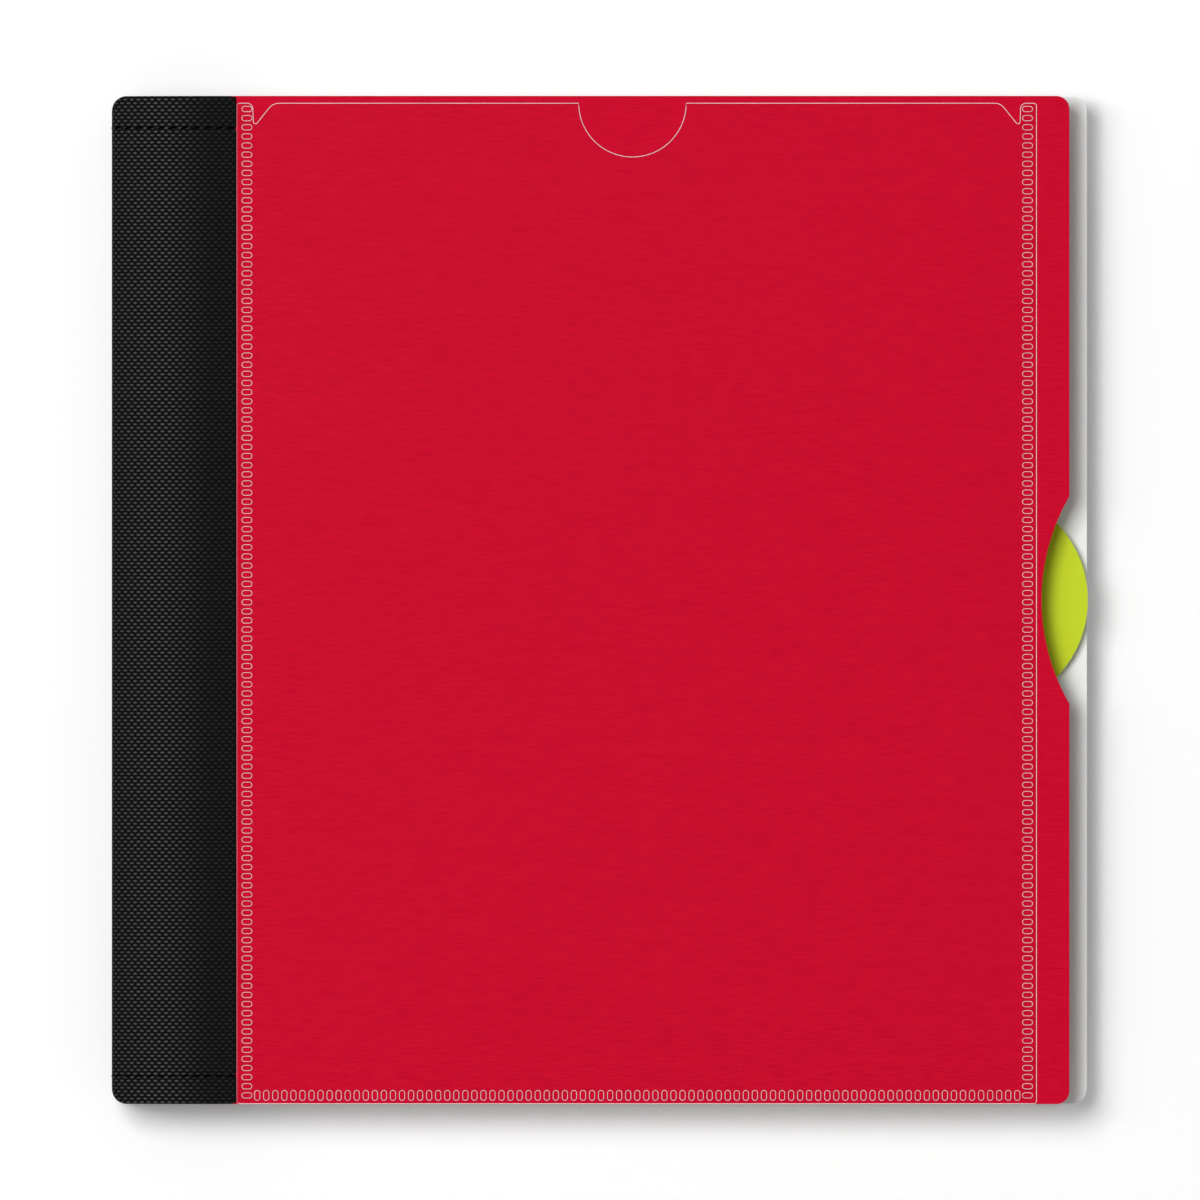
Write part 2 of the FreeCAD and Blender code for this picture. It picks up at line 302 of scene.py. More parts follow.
def brushed_sheet(name, base, roughness, along, across, depth, contrast, lift=0.0, **constants):
    finish = Finish(name, **constants)
    tree = finish.tree
    streaks = finish.place(streak_group(), Along=along, Across=across)
    mask = streaks.outputs["Mask"]
    # The lift paints a neutral sheen on the streaks: grey is added to the light streaks and taken from the
    # dark ones.
    dark, light = shade(base, 1 - contrast, -lift), shade(base, 1 + contrast, lift)
    finish.feed("Base Color", tint(tree, mask, dark, light))
    finish.feed("Roughness", spread(tree, mask, roughness - STREAK_POLISH, roughness + STREAK_POLISH))
    finish.bump(streaks.outputs["Height"], depth)
    return finish


def grained_sheet(name, base, roughness, scale, depth, contrast, **constants):
    finish = Finish(name, **constants)
    tree = finish.tree
    grain = finish.place(grain_group(), Scale=scale)
    mask, drift = grain.outputs["Mask"], grain.outputs["Drift"]
    dark, light = shade(base, 1 - contrast), shade(base, 1 + contrast)
    fine, faded = tint(tree, mask, dark, light), tint(tree, drift, dark, light)
    finish.feed("Base Color", tint(tree, drift, fine, faded))
    finish.feed("Roughness", spread(tree, mask, roughness - GRAIN_POLISH, roughness + GRAIN_POLISH))
    finish.bump(grain.outputs["Height"], depth)
    return finish


# ------------------------------------------------------------------- meshes

ARC_STEP = 0.2


def new_piece(name, points, faces, material, uvs=None, flat=False):
    """Mesh object from points in millimetres, measured from the spine, and faces"""
    mesh = bpy.data.meshes.new(name)
    mesh.from_pydata([((u + SPINE_X) * MM, y * MM, z * MM) for u, y, z in points], [], faces)
    mesh.validate()
    if uvs:
        layer = mesh.uv_layers.new(name="cloth")
        for loop in mesh.loops:
            layer.data[loop.index].uv = uvs[loop.vertex_index]
    mesh.polygons.foreach_set("use_smooth", [not flat] * len(mesh.polygons))
    mesh.materials.append(material)
    piece = bpy.data.objects.new(name, mesh)
    bpy.context.scene.collection.objects.link(piece)
    return piece


def tube_faces(rings, around, closed):
    """Quads between rings of points, each with the same count, and caps on an open run"""
    faces = []
    count = rings if closed else rings - 1
    for i in range(count):
        a = i * around
        b = (i + 1) % rings * around
        for j in range(around):
            k = (j + 1) % around
            faces.append((a + j, b + j, b + k, a + k))
    if not closed:
        faces.append(tuple(range(around - 1, -1, -1)))
        faces.append(tuple((rings - 1) * around + j for j in range(around)))
    return faces


def rounded_path(corners):
    """Closed outline through (u, y, radius) corners, each rounded with an arc"""
    path = []
    for i, (u, y, r) in enumerate(corners):
        corner = Vector((u, y))
        back = (Vector(corners[i - 1][:2]) - corner).normalized()
        on = (Vector(corners[(i + 1) % len(corners)][:2]) - corner).normalized()
        if r == 0:
            path.append((u, y))
            continue
        half = back.angle(on) / 2
        centre = corner + (back + on).normalized() * r / math.sin(half)
        first = corner + back * r / math.tan(half) - centre
        last = corner + on * r / math.tan(half) - centre
        start = math.atan2(first.y, first.x)
        sweep = (math.atan2(last.y, last.x) - start + math.pi) % (2 * math.pi) - math.pi
        steps = max(3, int(abs(sweep) / ARC_STEP))
        for k in range(steps + 1):
            angle = start + sweep * k / steps
            path.append((centre.x + r * math.cos(angle), centre.y + r * math.sin(angle)))
    return path


def limited(value):
    return min(1.0, max(0.0, value))


def evenly(first, last, count):
    return [first + (last - first) * k / (count - 1) for k in range(count)]


# -------------------------------------------------------------------- cloth

# Half of the cloth's section: flat on the cover, a wide bend, a tight turn, then the spine wall
BEND_START, BEND_RADIUS, BEND_END = 24.0, 49.0, 1.6
CLOTH_WIDTH = 35.55
SPINE_CORNER, FLAP_CORNER = 4.2, 1.25
BEND_ANGLE = math.asin((BEND_START - BEND_END) / BEND_RADIUS)
TURN_RADIUS = BEND_END / (1 - math.sin(BEND_ANGLE))
TURN_Z = BEND_RADIUS * (1 - math.cos(BEND_ANGLE)) + TURN_RADIUS * math.cos(BEND_ANGLE)
FLAT_RUN = CLOTH_WIDTH - BEND_START
BEND_RUN = BEND_RADIUS * BEND_ANGLE
TURN_RUN = TURN_RADIUS * (math.pi / 2 - BEND_ANGLE)
WALL_RUN = THICKNESS / 2 - TURN_Z
CLOTH_RUN = FLAT_RUN + BEND_RUN + TURN_RUN + WALL_RUN

# Rows and columns of the cloth's mesh
EDGE_SHARES = (0.0, 0.08, 0.22, 0.42, 0.7, 1.0)
FLAT_STEPS, BEND_STEPS, TURN_STEPS, WALL_STEPS = 6, 26, 12, 5
END_COLUMNS, PAST_HEM = (1.5, 2.3, 2.7, 5.0), (4, 8)
GROOVE_STEP, GROOVE_STEPS = 0.3, 5
MIDDLE_COLUMNS = 31

# The rows follow the round corners within this reach of the ends
CORNER_REACH, CORNER_FADE = 20, 17

# On the spine wall the hem is turned in and covers the end of the board
HEM_TURN, HEM_TURN_FADE = 2.7, 0.4
HEM_TURN_DEPTH, HEM_TURN_START = 1.6, 1.5
THINNEST = 0.02

# The stitches draw the cloth in, less and less towards the turn
GROOVE_DEPTH, GROOVE_WIDTH = 0.12, 0.5
GROOVE_END, GROOVE_FADE = 1, 3

# Hem stitches: stations along one, its lean and height, and where the row starts and stops
STITCH_STATIONS = (-1.0, -0.8, -0.45, 0.0, 0.45, 0.8, 1.0)
STITCH_SIDES = 8
STITCH_LEAN = 0.17
STITCH_CROWN, STITCH_SINK, STITCH_HEIGHT = 0.05, 0.02, 0.1
STITCH_TIP = 0.02
STITCH_START, STITCH_MARGIN = 1.75, 1.0

# Where the cloth leaves the cover and where it is wholly on the spine panel (u, z)
LEAVES_COVER, JOINS_SPINE = (1.9, 5.25), (0.0, 8.1)


def cloth_at(run):
    """u, z and outward direction on the back half's outer face, from its edge on the cover to mid spine"""
    if run <= FLAT_RUN:
        return CLOTH_WIDTH - run, 0.0, 0.0, -1.0
    run -= FLAT_RUN
    if run <= BEND_RUN:
        a = run / BEND_RADIUS
        u, z = BEND_START - BEND_RADIUS * math.sin(a), BEND_RADIUS * (1 - math.cos(a))
        return u, z, -math.sin(a), -math.cos(a)
    run -= BEND_RUN
    if run <= TURN_RUN:
        a = BEND_ANGLE + run / TURN_RADIUS
        u, z = TURN_RADIUS * (1 - math.sin(a)), TURN_Z - TURN_RADIUS * math.cos(a)
        return u, z, -math.sin(a), -math.cos(a)
    return 0.0, TURN_Z + run - TURN_RUN, -1.0, 0.0


def round_over(distance, radius):
    """Depth of a rounded edge at this distance from it"""
    if distance >= radius:
        return 0.0
    return radius - math.sqrt(max(0.0, radius ** 2 - (radius - distance) ** 2))


def cloth_reach(run, u):
    """Half length of the cloth at this place, with round corners at the spine and at the cover"""
    return HALF_HEIGHT - round_over(u, SPINE_CORNER) - round_over(run, FLAP_CORNER)


def cloth_rows(edge):
    """Distances of the mesh's rows from the cloth's edge on the cover"""
    rows = [edge * share for share in EDGE_SHARES]
    rows += [edge + (FLAT_RUN - edge) * k / FLAT_STEPS for k in range(1, FLAT_STEPS + 1)]
    start = FLAT_RUN
    for span, steps in ((BEND_RUN, BEND_STEPS), (TURN_RUN, TURN_STEPS), (WALL_RUN, WALL_STEPS)):
        rows += [start + span * k / steps for k in range(1, steps + 1)]
        start += span
    return rows


def cloth_columns(edge, head_hem, tail_hem):
    """Heights of the mesh's columns, closer together at the ends and at the stitches"""
    middle = HALF_HEIGHT - CORNER_REACH
    columns = evenly(-middle, middle, MIDDLE_COLUMNS)
    for sign, hem in ((-1, tail_hem), (1, head_hem)):
        inward = [edge * share for share in EDGE_SHARES] + list(END_COLUMNS)
        inward += [hem + GROOVE_STEP * k for k in range(-GROOVE_STEPS, GROOVE_STEPS + 1)]
        inward += [hem + past for past in PAST_HEM]
        columns += [sign * (HALF_HEIGHT - d) for d in inward]
    return sorted(columns)


def cloth_mesh(name, front, material, sizes):
    """Half of the cloth, from its edge on one cover to the middle of the spine"""
    edge = sizes.cloth_edge / MM
    thick = sizes.cloth / MM
    head_hem, tail_hem = sizes.head_hem / MM, sizes.tail_hem / MM
    runs = cloth_rows(edge)
    across = cloth_columns(edge, head_hem, tail_hem)
    wall = FLAT_RUN + BEND_RUN + TURN_RUN
    points, uvs = [], []
    for inner in (False, True):
        for run in runs:
            u, z, nu, nz = cloth_at(run)
            drawn = limited((FLAT_RUN + BEND_RUN - GROOVE_END - run) / GROOVE_FADE)
            for y0 in across:
                end = HALF_HEIGHT - abs(y0)
                hem = head_hem if y0 > 0 else tail_hem
                sunk = max(round_over(run, edge), round_over(end, edge))
                sunk += GROOVE_DEPTH * drawn * math.exp(-((end - hem) / GROOVE_WIDTH) ** 2)
                turned = limited((run - wall) / HEM_TURN_START) * limited((HEM_TURN - end) / HEM_TURN_FADE)
                depth = max(thick + HEM_TURN_DEPTH * turned, sunk + THINNEST) if inner else sunk
                pu, pz = u - nu * depth, z - nz * depth
                fade = limited((CORNER_REACH - end) / CORNER_FADE)
                short = HALF_HEIGHT - cloth_reach(run, pu)
                y = math.copysign(abs(y0) - short * fade, y0)
                points.append((pu, y, THICKNESS - pz if front else pz))
                uvs.append((run * MM, (y + HALF_HEIGHT) * MM))
    rows, columns = len(runs), len(across)
    size = rows * columns
    faces = []
    for i in range(rows - 1):
        for j in range(columns - 1):
            a = i * columns + j
            quad = (a, a + 1, a + columns + 1, a + columns)
            faces.append(quad)
            faces.append(tuple(size + v for v in reversed(quad)))
    rim = list(range(columns))
    rim += [i * columns + columns - 1 for i in range(1, rows)]
    rim += [(rows - 1) * columns + j for j in range(columns - 2, -1, -1)]
    rim += [i * columns for i in range(rows - 2, 0, -1)]
    for a, b in zip(rim, rim[1:] + rim[:1]):
        faces.append((b, a, size + a, size + b))
    if front:
        faces = [tuple(reversed(f)) for f in faces]
    return new_piece(name, points, faces, material, uvs)


def stitch_mesh(name, front, material, sizes):
    """Two rows of hem stitches, each a short tapered run of thread on the cloth"""
    half = sizes.stitch / MM / 2
    width = sizes.stitch_width / MM / 2
    pitch = sizes.stitch_pitch / MM
    count = int((CLOTH_RUN - STITCH_MARGIN) / pitch)
    points, faces = [], []
    for sign, hem in ((-1, sizes.tail_hem / MM), (1, sizes.head_hem / MM)):
        for n in range(count):
            middle = STITCH_START + n * pitch
            first = len(points)
            for t in STITCH_STATIONS:
                u, z, nu, nz = cloth_at(middle + t * half)
                taper = math.sqrt(max(STITCH_TIP, 1 - abs(t) ** 3))
                lean = -t * STITCH_LEAN
                lift = STITCH_CROWN * (1 - t * t) - STITCH_SINK
                for k in range(STITCH_SIDES):
                    angle = 2 * math.pi * k / STITCH_SIDES
                    y = sign * (HALF_HEIGHT - hem) + lean + width * taper * math.cos(angle)
                    h = lift + STITCH_HEIGHT * taper * math.sin(angle)
                    pz = z + nz * h
                    points.append((u + nu * h, y, THICKNESS - pz if front else pz))
            run_faces = tube_faces(len(STITCH_STATIONS), STITCH_SIDES, False)
            faces += [tuple(first + v for v in (reversed(f) if front else f)) for f in run_faces]
    return new_piece(name, points, faces, material)


# -------------------------------------------------------------- cover pocket

FILM_LEFT, FILM_RIGHT, FILM_HEAD, FILM_TAIL = 35.38, 261.9, 140.7, -142.65
FILM_CORNER = 0.8
FILM_THICKNESS = 0.14
MOON_U, MOON_R, MOON_STEPS = 147.44, 15.1, 40

# Corners of a relief notch: distance from the side of the film, depth and radius
RELIEF = ((4.45, 0.0, 1.6), (4.7, 6.85, 0.6), (10.2, 0.0, 3.4))

# Sections of the raised lines: share of the width and height over the film
EDGE_SECTION = ((-1.0, -0.02), (-0.7, 0.07), (0.0, 0.1), (0.7, 0.07), (1.0, -0.02))
WELD_SECTION = ((0.0, -0.02), (0.2, 0.06), (0.5, 0.09), (0.8, 0.06), (1.0, -0.02))

# Rows of welds: a column at each side and a row at the foot
WELD_LEFT, WELD_RIGHT = 38.33, 259.25
WELD_HEAD, WELD_TAIL, SIDE_WELDS = 138.95, -140.2, 109
FOOT_FIRST, FOOT_LAST, FOOT_WELDS = 41.25, 256.35, 85
WELD_STEPS = 10


def film_outline(inset):
    left, right = FILM_LEFT + inset, FILM_RIGHT - inset
    head, tail = FILM_HEAD - inset, FILM_TAIL + inset
    corners = [(left, tail, FILM_CORNER), (left, head, FILM_CORNER)]
    corners += [(left + reach, head - depth, r) for reach, depth, r in RELIEF]
    radius = MOON_R + inset
    for k in range(MOON_STEPS + 1):
        angle = math.pi + math.pi * k / MOON_STEPS
        corners.append((MOON_U + radius * math.cos(angle), head + radius * math.sin(angle), 0))
    corners += [(right - reach, head - depth, r) for reach, depth, r in reversed(RELIEF)]
    corners += [(right, head, FILM_CORNER), (right, tail, FILM_CORNER)]
    return rounded_path(corners)


def film_mesh(material):
    """Clear film, just off the cover"""
    path = film_outline(0.0)
    count = len(path)
    points = [(u, y, z) for z in (FILM_TOP, FILM_TOP - FILM_THICKNESS) for u, y in path]
    faces = [tuple(reversed(range(count))), tuple(range(count, 2 * count))]
    for a in range(count):
        b = (a + 1) % count
        faces.append((a, b, count + b, count + a))
    return new_piece("pocket_film", points, faces, material, flat=True)


def film_edge_mesh(material, sizes):
    """Cut edge of the film, a low half-round line along its outline, coloured as a painted highlight"""
    half = sizes.film_edge / MM / 2
    path = film_outline(half)
    points = []
    for i, (u, y) in enumerate(path):
        pu, py = path[i - 1]
        nu, ny = path[(i + 1) % len(path)]
        du, dy = nu - pu, ny - py
        size = math.hypot(du, dy)
        for share, lift in EDGE_SECTION:
            side = share * half
            points.append((u - dy / size * side, y + du / size * side, FILM_TOP + lift))
    faces = tube_faces(len(path), len(EDGE_SECTION), True)
    return new_piece("pocket_edge", points, [tuple(reversed(f)) for f in faces], material)


def weld_places():
    """Middle of each weld, and whether it stands upright"""
    places = []
    for y in evenly(WELD_HEAD, WELD_TAIL, SIDE_WELDS):
        places += [(WELD_LEFT, y, False), (WELD_RIGHT, y, False)]
    places += [(u, WELD_TAIL, True) for u in evenly(FOOT_FIRST, FOOT_LAST, FOOT_WELDS)]
    return places


def weld_mesh(material, sizes):
    """Oval weld lines along the two sides and the foot of the pocket"""
    long_half = sizes.weld / MM / 2
    short_half = sizes.weld_width / MM / 2
    line = sizes.weld_line / MM
    points, faces = [], []
    ring = tube_faces(2 * (WELD_STEPS + 1), len(WELD_SECTION), True)
    for u, y, upright in weld_places():
        first = len(points)
        for side in (0, 1):
            centre = (long_half - short_half) * (1 if side == 0 else -1)
            for k in range(WELD_STEPS + 1):
                angle = -math.pi / 2 + math.pi * k / WELD_STEPS + side * math.pi
                for share, lift in WELD_SECTION:
                    r = short_half - share * line
                    a, b = centre + r * math.cos(angle), r * math.sin(angle)
                    if upright:
                        a, b = -b, a
                    points.append((u + a, y + b, FILM_TOP + lift))
        faces += [tuple(first + v for v in f) for f in ring]
    return new_piece("pocket_welds", points, faces, material)


# ---------------------------------------------------------------- operators

class ALBUM_OT_covers(bpy.types.Operator):
    """Give both covers their brushed sheet finish"""
    bl_idname = "album.covers"
    bl_label = "Covers"

    def execute(self, context):
        colours = context.scene.album_colours
        # The streaks are the sheet's own brushed grain; the lift of 0.0019 on them is painted sheen.
        finish = brushed_sheet(
            "cover red", tuple(colours.cover), roughness=0.5, along=190.0, across=2000.0,
            depth=0.00002, contrast=0.07, lift=0.0019, Specular_IOR_Level=0.02)
        path = add(finish.tree, "ShaderNodeLightPath")
        streaked = finish.shader.inputs["Base Color"].links[0].from_socket
        bounce_share = 0.6
        bounced = maths(finish.tree, "MULTIPLY", path.outputs["Is Diffuse Ray"], bounce_share)
        finish.feed("Base Color", tint(finish.tree, bounced, streaked, tuple(colours.bounce)))
        finish.on("front_cover", "back_cover")
        return {"FINISHED"}


class ALBUM_OT_spine_cloth(bpy.types.Operator):
    """Build the woven cloth round the spine and the stitches in its hems"""
    bl_idname = "album.spine_cloth"
    bl_label = "Spine cloth"

    def weave(self, finish, along, up, repeat):
        """Height of the thread floats, which are staggered from row to row"""
        tree = finish.tree
        float_length, float_width = 0.33, 0.34
        rows = maths(tree, "MULTIPLY", up, 2 / repeat)
        odd = maths(tree, "FLOORED_MODULO", maths(tree, "FLOOR", rows), 2.0)
        along = maths(tree, "MULTIPLY", along, 1 / repeat)
        along = maths(tree, "ADD", along, maths(tree, "MULTIPLY", odd, 0.5))
        u = maths(tree, "SUBTRACT", maths(tree, "FRACT", along), 0.5)
        v = maths(tree, "SUBTRACT", maths(tree, "FRACT", rows), 0.5)
        u = maths(tree, "POWER", maths(tree, "MULTIPLY", u, 1 / float_length), 2.0)
        v = maths(tree, "POWER", maths(tree, "MULTIPLY", v, 1 / float_width), 2.0)
        return maths(tree, "MAXIMUM", maths(tree, "SUBTRACT", 1.0, maths(tree, "ADD", u, v)), 0.0)

    def cloth_finish(self, sizes, colours):
        finish = Finish("spine cloth", Specular_IOR_Level=0.05)
        tree = finish.tree
        place = finish.split("UV")
        crown = self.weave(finish, place["X"], place["Y"], sizes.weave)
        grain = finish.place(grain_group(), vector=finish.coords.outputs["UV"], Scale=1500.0)
        flattened = 0.7
        floats_and_sheen = maths(tree, "POWER", crown, flattened)
        floats_and_sheen = maths(tree, "MULTIPLY", floats_and_sheen, spread(tree, grain.outputs["Mask"], 0.7, 1.15))
        # Painted sheen: the threads are drawn darkest on the flat flap by the cover, lightest part-way
        # round the wide bend and dimmer towards the spine wall, where a glint of the lamps would fall.
        sheen_rise = ramp(tree, place["X"], start=6.0 * MM, end=22.0 * MM, kind="SMOOTHSTEP")
        rest = ramp(tree, place["X"], start=40.5 * MM, end=24.0 * MM, kind="SMOOTHSTEP")
        painted_sheen = maths(tree, "MULTIPLY", sheen_rise, spread(tree, rest, 0.45, 1.0))
        floats_and_sheen = maths(tree, "MULTIPLY", floats_and_sheen, spread(tree, painted_sheen, 0.22, 1.0))
        # Painted shade: the threads fade into the dark ground along the cloth's cut edge on the cover,
        # where the crease lies in shade.
        edge_shade = ramp(tree, place["X"], start=0.5 * MM, end=1.1 * MM)
        floats_and_sheen = maths(tree, "MULTIPLY", floats_and_sheen, edge_shade)
        finish.feed("Base Color", tint(tree, floats_and_sheen, tuple(colours.ground), tuple(colours.thread)))
        finish.feed("Roughness", spread(tree, floats_and_sheen, 0.8, 0.5))
        finish.bump(crown, 0.0001)
        return finish

    def execute(self, context):
        sizes, colours = context.scene.album_sizes, context.scene.album_colours
        cloth = self.cloth_finish(sizes, colours)
        sewing = grained_sheet(
            "hem thread", tuple(colours.sewing), roughness=0.7, scale=5000.0,
            depth=0.00003, contrast=0.3, Specular_IOR_Level=0.0)
        for front in (False, True):
            side = "front" if front else "back"
            sheet = cloth_mesh(side + "_cloth", front, cloth.material, sizes)
            thread = stitch_mesh(side + "_hem_stitches", front, sewing.material, sizes)
            places = [LEAVES_COVER, JOINS_SPINE]
            if front:
                places = [(u, THICKNESS - z) for u, z in reversed(places)]
            for piece in (sheet, thread):
                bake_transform(piece)
            if front:
                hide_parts("front_fabric")
            else:
                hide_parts("back_fabric", "spine_fabric")
        return {"FINISHED"}


class ALBUM_OT_hinges(bpy.types.Operator):
    """Finish the hinge strips, the linings and the board in the spine"""
    bl_idname = "album.hinges"
    bl_label = "Hinge strips and linings"

    def execute(self, context):
        colours = context.scene.album_colours
        strip = grained_sheet(
            "hinge strip", tuple(colours.strip), roughness=0.5, scale=3000.0,
            depth=0.00002, contrast=0.12, Specular_IOR_Level=0.3)
        strip.on("front_hinge_strip", "back_hinge_strip")
        lining = grained_sheet(
            "felted lining", tuple(colours.lining), roughness=0.9, scale=2200.0,
            depth=0.00012, contrast=0.35, Specular_IOR_Level=0.15)
        lining.on("front_lining", "back_lining", "spine_lining")
        board = grained_sheet(
            "spine board", tuple(colours.board), roughness=0.85, scale=1400.0,
            depth=0.00006, contrast=0.15, Specular_IOR_Level=0.2)
        board.on("spine_board")
        return {"FINISHED"}


class ALBUM_OT_cover_pocket(bpy.types.Operator):
    """Build the clear film of the cover pocket, its cut edge and its welds"""
    bl_idname = "album.cover_pocket"
    bl_label = "Cover pocket"

    def film_finish(self, colours):
        """Almost clear, and more so from straight above than at a slant"""
        film = Finish("clear film", Specular_IOR_Level=0.5, Base_Color=(*colours.film, 1.0))
        tree = film.tree
        grain = film.place(grain_group(), Scale=60.0)
        film.feed("Roughness", spread(tree, grain.outputs["Mask"], 0.08, 0.18))
        facing = add(tree, "ShaderNodeLayerWeight")
        slant_power, slant_share = 3.0, 0.25
        slant = maths(tree, "POWER", facing.outputs["Facing"], slant_power)
        haze = spread(tree, grain.outputs["Drift"], 0.002, 0.006)
        film.feed("Alpha", maths(tree, "ADD", haze, maths(tree, "MULTIPLY", slant, slant_share)))
        return film

    def edge_highlight_finish(self, colours):
        """Painted highlight: pale pink on the film's cut edges and welds, faded to a faint line of painted
        shade along the cloth
        """
        edge = Finish("film edge highlight", Specular_IOR_Level=0.3)
        tree = edge.tree
        grain = edge.place(grain_group(), Scale=900.0)
        base = tuple(colours.edge)
        edge.feed("Base Color", tint(tree, grain.outputs["Mask"], shade(base, 0.9), shade(base, 1.08)))
        edge.feed("Roughness", spread(tree, grain.outputs["Mask"], 0.2, 0.4))
        # Painted shade: beside the cloth the line fades to a faint trace, as if in the cloth's shadow.
        in_cloth_shadow, past_cloth_shadow = FILM_LEFT + 0.3, FILM_LEFT + 0.8
        clear = ramp(
            tree, edge.split("Object")["X"], low=0.16,
            start=(in_cloth_shadow + SPINE_X) * MM, end=(past_cloth_shadow + SPINE_X) * MM)
        alpha = spread(tree, grain.outputs["Drift"], 0.84, 1.0)
        edge.feed("Alpha", maths(tree, "MULTIPLY", alpha, clear))
        return edge

    def execute(self, context):
        sizes, colours = context.scene.album_sizes, context.scene.album_colours
        sheet = film_mesh(self.film_finish(colours).material)
        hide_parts("cover_pocket")
        edge = self.edge_highlight_finish(colours).material
        for piece in (sheet, film_edge_mesh(edge, sizes), weld_mesh(edge, sizes)):
            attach(piece, "front")
        return {"FINISHED"}


class ALBUM_OT_ring_metal(bpy.types.Operator):
    """Plate the rings, the arched plate, the blades, the triggers, the pins and the rivets"""
    bl_idname = "album.ring_metal"
    bl_label = "Ring metal"

    def execute(self, context):
        colours = context.scene.album_colours
        chrome = grained_sheet(
            "bright plating", tuple(colours.ring), roughness=0.12, scale=900.0,
            depth=0.000001, contrast=0.05, Metallic=1.0)
        chrome.on(*(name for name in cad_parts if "_ring_" in name))
        steel = brushed_sheet(
            "satin plating", tuple(colours.steel), roughness=0.32, along=2200.0, across=40.0,
            depth=0.000002, contrast=0.08, Metallic=1.0)
        steel.on("ring_plate", "left_blade", "right_blade")
        small = grained_sheet(
            "satin small parts", tuple(colours.steel), roughness=0.28, scale=1200.0,
            depth=0.000001, contrast=0.06, Metallic=1.0)
        small.on("upper_trigger", "lower_trigger")
        small.on("trigger_pin_upper", "trigger_pin_lower", "rivet_upper", "rivet_lower")
        return {"FINISHED"}


class ALBUM_OT_leaves(bpy.types.Operator):
    """Give the leaves their paper grain and faint squares"""
    bl_idname = "album.leaves"
    bl_label = "Leaves"

    def squares(self, finish, spacing):
        """Mask of the ruled lines, on the faces of a leaf but not on its edges"""
        tree = finish.tree
        grid_scale = 100.0
        grid = add(tree, "ShaderNodeTexBrick", offset=0.0, squash=1.0)
        for label, value in (("Color1", 0.0), ("Color2", 0.0), ("Mortar", 1.0)):
            grid.inputs[label].default_value = (value, value, value, 1)
        for label, value in (
            ("Scale", grid_scale),
            ("Mortar Size", 0.011),
            ("Mortar Smooth", 0.3),
            ("Brick Width", spacing * grid_scale),
            ("Row Height", spacing * grid_scale),
        ):
            grid.inputs[label].default_value = value
        join(tree, finish.coords.outputs["Object"], grid.inputs["Vector"])
        upward = maths(tree, "ABSOLUTE", finish.split("Normal")["Z"])
        return maths(tree, "MULTIPLY", grid.outputs["Color"], maths(tree, "GREATER_THAN", upward, 0.5))

    def execute(self, context):
        sizes, colours = context.scene.album_sizes, context.scene.album_colours
        finish = Finish("album paper", Specular_IOR_Level=0.2)
        tree = finish.tree
        grain = finish.place(grain_group(), Scale=2400.0)
        base = tuple(colours.paper)
        paper = tint(tree, grain.outputs["Mask"], shade(base, 0.97), shade(base, 1.03))
        ruled = self.squares(finish, sizes.ruling)
        finish.feed("Base Color", tint(tree, ruled, paper, tuple(colours.rule)))
        finish.feed("Roughness", spread(tree, grain.outputs["Mask"], 0.75, 0.9))
        finish.bump(grain.outputs["Height"], 0.00003)
        leaves = (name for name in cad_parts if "_leaf_" in name and not name.startswith("pocket"))
        finish.on(*leaves)
        return {"FINISHED"}


class ALBUM_OT_divider(bpy.types.Operator):
    """Finish the index divider"""
    bl_idname = "album.divider"
    bl_label = "Index divider"

    def execute(self, context):
        finish = brushed_sheet(
            "divider lime", tuple(context.scene.album_colours.lime), roughness=0.45, along=60.0,
            across=1800.0, depth=0.00001, contrast=0.025, Specular_IOR_Level=0.06)
        finish.on("index_divider")
        return {"FINISHED"}


class ALBUM_OT_pocket_sheet(bpy.types.Operator):
    """Finish the white sheet behind the divider and its frosted pocket panel"""
    bl_idname = "album.pocket_sheet"
    bl_label = "White pocket sheet"

    def execute(self, context):
        colours = context.scene.album_colours
        sheet = grained_sheet(
            "white sheet", tuple(colours.white), roughness=0.5, scale=2500.0,
            depth=0.000015, contrast=0.02, Specular_IOR_Level=0.2)
        sheet.on("pocket_leaf")
        panel = grained_sheet(
            "frosted panel", tuple(colours.panel), roughness=0.35, scale=1800.0,
            depth=0.00002, contrast=0.03, Specular_IOR_Level=0.4)
        grain = panel.place(grain_group(), Scale=700.0)
        panel.feed("Alpha", spread(panel.tree, grain.outputs["Drift"], 0.35, 0.5))
        panel.on("pocket_leaf_panel")
        return {"FINISHED"}


